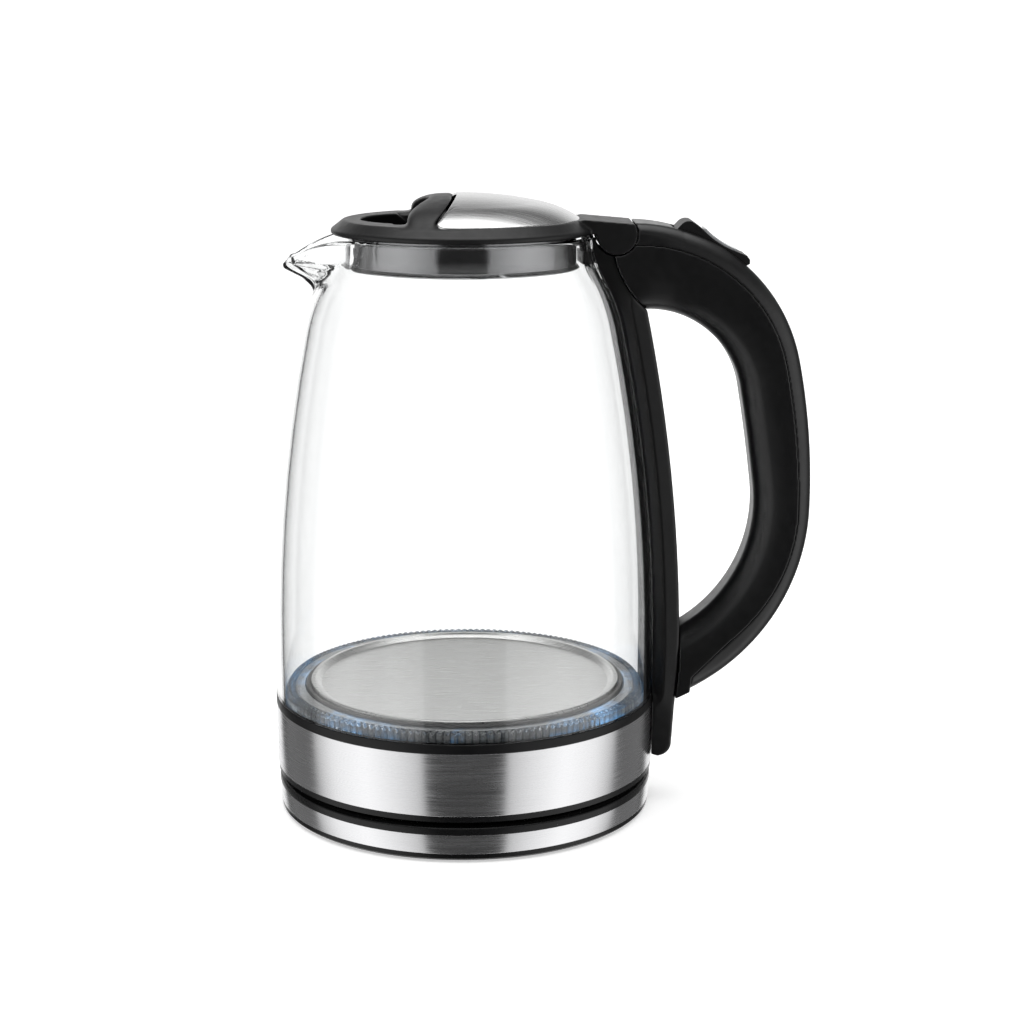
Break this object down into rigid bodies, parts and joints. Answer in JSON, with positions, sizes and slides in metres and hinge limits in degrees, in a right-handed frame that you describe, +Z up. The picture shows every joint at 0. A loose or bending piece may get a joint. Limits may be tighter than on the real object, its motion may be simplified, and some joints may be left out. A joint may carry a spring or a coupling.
{
  "type": "electric kettle",
  "caption": "Glass jug kettle with a black loop handle, hinged lid with a finger recess, brushed steel bands and a round power base that it lifts off and turns on.",
  "frame": {"origin": "on the jug's axis, on the surface that the power base stands on", "axes": "+Z up, +X towards the handle, -X towards the spout, +Y away from the side that is seen with the handle on the right"},
  "size_m": [0.2107, 0.1527, 0.2425],
  "materials": {
    "black_plastic": "satin moulded black",
    "handle_plastic": "satin moulded black",
    "lid_plastic": "satin moulded black",
    "base_plastic": "satin moulded black",
    "brushed_steel": "brushed round the band",
    "dome_steel": "fine brushed",
    "polished_steel": "polished",
    "heater_steel": "turned, satin",
    "jug_glass": "clear borosilicate",
    "crystal": "clear moulded",
    "switch_lens": "clear moulded strip",
    "silicone": "translucent silicone",
    "dark_seal": "grey silicone",
    "foot_rubber": "matt rubber",
    "brass": "bright contact metal",
    "aluminium": "cast, plain",
    "zinc_steel": "zinc plated",
    "element_steel": "dull sheath",
    "control_plastic": "plain moulded, off white",
    "circuit_board": "white coated board",
    "led_blue": "clear blue lamp",
    "bimetal": "rolled strip",
    "wire_sleeve": "glass fibre sleeve"
  },
  "bodies": {
    "power_base": {"base_foot_ring": "foot_rubber", "base_lower_shell": "base_plastic", "base_steel_band": "brushed_steel", "base_upper_shell": "base_plastic", "cord_gland": "foot_rubber", "base_screws": "zinc_steel", "base_connector_tower": "base_plastic", "base_contact_rings": "brass"},
    "coupler": {"coupler_disc": "black_plastic", "coupler_blades": "brass", "coupler_pin": "brass"},
    "jug": {"jug_bottom_cover": "base_plastic", "jug_steel_band": "brushed_steel", "jug_trim_ring": "black_plastic", "crystal_light_ring": "crystal", "glass_seal": "silicone", "plate_seal": "dark_seal", "heater_plate": "heater_steel", "heat_spreader": "aluminium", "heating_element": "element_steel", "thermostat_control": "control_plastic", "boil_dry_bimetals": "bimetal", "led_board": "circuit_board", "led_lamps": "led_blue", "plate_clamp_ring": "black_plastic", "cover_screws": "zinc_steel", "glass_jug": "jug_glass", "handle_shell": "handle_plastic", "handle_cover": "handle_plastic", "handle_spine": "handle_plastic", "neck_bracket": "black_plastic", "hinge_pin": "zinc_steel", "steam_switch": "control_plastic", "steam_bimetal": "bimetal", "handle_wires": "wire_sleeve", "switch_pin": "zinc_steel", "lever_pin": "zinc_steel"},
    "lid": {"lid_ring": "lid_plastic", "lid_insert": "dome_steel", "lid_cup": "polished_steel", "lid_gasket": "silicone", "lid_screws": "zinc_steel"},
    "switch": {"switch_rocker": "lid_plastic", "switch_inlay": "switch_lens"},
    "trip_lever": {"trip_lever": "control_plastic"}
  },
  "joints": [
    {"name": "jug_lift", "type": "slide", "parent": "power_base", "child": "coupler", "axis": [0, 0, 1], "range_m": [0, 0.06]},
    {"name": "jug_spin", "type": "hinge", "parent": "coupler", "child": "jug", "pos_m": [0, 0, 0.026], "axis": [0, 0, 1], "continuous": true},
    {"name": "lid_hinge", "type": "hinge", "parent": "jug", "child": "lid", "pos_m": [0.0584, 0, 0.2278], "axis": [0, 1, 0], "range_deg": [0, 85]},
    {"name": "switch_rock", "type": "hinge", "parent": "jug", "child": "switch", "pos_m": [0.096, 0, 0.2195], "axis": [0, 1, 0], "range_deg": [0, 10]},
    {"name": "lever_trip", "type": "hinge", "parent": "jug", "child": "trip_lever", "pos_m": [0.089, 0, 0.211], "axis": [0, 1, 0], "range_deg": [0, 6]}
  ],
  "couplings": [
    {"joint": "lever_trip", "follows": "switch_rock", "ratio": 0.6}
  ]
}
